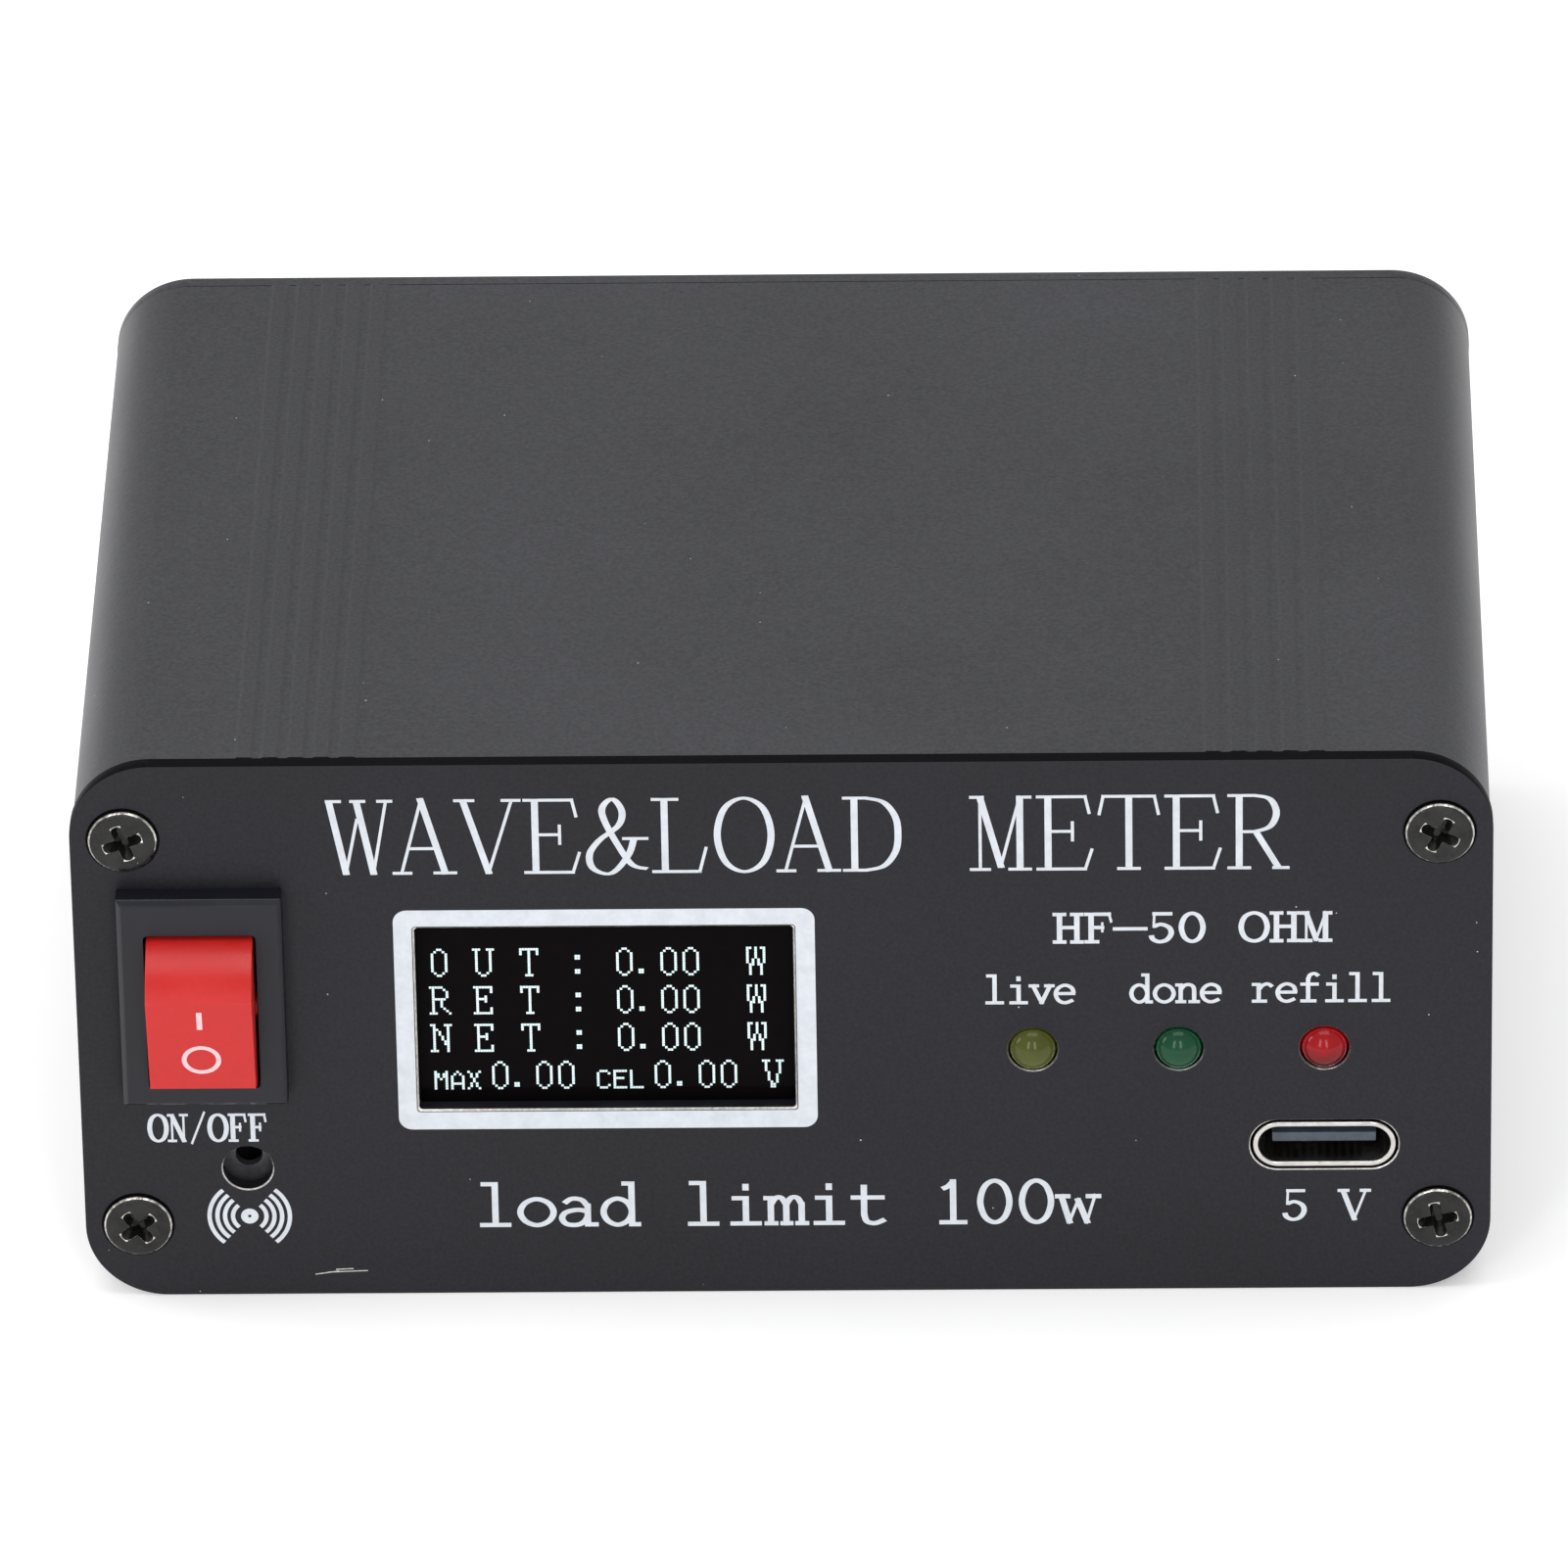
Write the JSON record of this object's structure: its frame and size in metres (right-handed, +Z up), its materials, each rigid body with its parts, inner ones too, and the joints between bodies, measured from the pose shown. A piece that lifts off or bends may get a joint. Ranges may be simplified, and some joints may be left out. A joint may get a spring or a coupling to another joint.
{
  "type": "swr meter",
  "caption": "Desk SWR meter for amateur radio in a black extruded case, with a rocker switch, a small display, indicator lights, a charging socket and rear coaxial sockets.",
  "frame": {"origin": "centre of the case's flat bottom face", "axes": "+Z up, -Y out of the front panel, +X to the right as seen from the front"},
  "size_m": [0.088, 0.0825, 0.0386],
  "materials": {
    "case_black": "black anodised, fine sand-blasted grain",
    "panel_black": "black anodised sheet with milled bare edges",
    "screw_black": "black zinc with worn edges",
    "switch_black": "moulded, satin",
    "switch_red": "moulded, satin",
    "spring_steel": "drawn wire",
    "contact_brass": "stamped",
    "gasket_foam": "matt foam",
    "display_glass": "polished glass over black",
    "board_blue": "solder resist",
    "board_green": "solder resist",
    "header_black": "moulded",
    "led_olive": "tinted epoxy",
    "led_green": "tinted epoxy",
    "led_red": "tinted epoxy",
    "usb_steel": "drawn stainless",
    "usb_plastic": "moulded",
    "chip_black": "moulded",
    "sounder_black": "moulded",
    "can_steel": "drawn can",
    "can_blue": "shrunk sleeve",
    "ferrite_grey": "sintered",
    "copper_wire": "enamelled",
    "battery_foil": "pouch foil",
    "wire_red": "sleeve",
    "wire_black": "sleeve",
    "socket_nickel": "nickel plate, turned",
    "socket_white": "turned"
  },
  "bodies": {
    "case": {"top_shell": "case_black", "bottom_shell": "case_black", "front_panel": "panel_black", "rear_panel": "panel_black", "front_screw_1": "screw_black", "front_screw_2": "screw_black", "front_screw_3": "screw_black", "front_screw_4": "screw_black", "rear_screw_1": "screw_black", "rear_screw_2": "screw_black", "rear_screw_3": "screw_black", "rear_screw_4": "screw_black", "switch_housing": "switch_black", "switch_terminal_1": "contact_brass", "switch_terminal_2": "contact_brass", "display_gasket": "gasket_foam", "display_glass": "display_glass", "display_board": "board_blue", "display_header": "header_black", "led_work": "led_olive", "led_full": "led_green", "led_charge": "led_red", "led_board": "board_green", "usb_shell": "usb_steel", "usb_tongue": "usb_plastic", "charger_board": "board_green", "charger_chip": "chip_black", "charger_header": "header_black", "sounder_case": "sounder_black", "sounder_base": "board_green", "main_board": "board_green", "microcontroller": "chip_black", "crystal": "can_steel", "capacitor": "can_blue", "coupler_core_1": "ferrite_grey", "coupler_core_2": "ferrite_grey", "coupler_winding_1": "copper_wire", "coupler_winding_2": "copper_wire", "through_line": "contact_brass", "battery_pad": "gasket_foam", "battery_cell": "battery_foil", "battery_lead_red": "wire_red", "battery_lead_black": "wire_black", "switch_lead_red": "wire_red", "switch_lead_black": "wire_black", "display_ribbon": "wire_red", "socket_1_body": "socket_nickel", "socket_1_insulator": "socket_white", "socket_1_contact": "contact_brass", "socket_1_washer": "socket_nickel", "socket_1_nut": "socket_nickel", "socket_2_body": "socket_nickel", "socket_2_insulator": "socket_white", "socket_2_contact": "contact_brass", "socket_2_washer": "socket_nickel", "socket_2_nut": "socket_nickel"},
    "rocker": {"switch_rocker": "switch_red", "rocker_plunger": "switch_black", "rocker_spring": "spring_steel"},
    "seesaw": {"switch_contact": "contact_brass"}
  },
  "joints": [
    {"name": "power_rocker", "type": "hinge", "parent": "case", "child": "rocker", "pos_m": [-0.0361, -0.0314, 0.02178], "axis": [-1, 0, 0], "range_deg": [0, 28]},
    {"name": "contact_tilt", "type": "hinge", "parent": "case", "child": "seesaw", "pos_m": [-0.0361, -0.0254, 0.02178], "axis": [1, 0, 0], "range_deg": [0, 16]}
  ],
  "couplings": [
    {"joint": "contact_tilt", "follows": "power_rocker", "ratio": 0.5714}
  ]
}
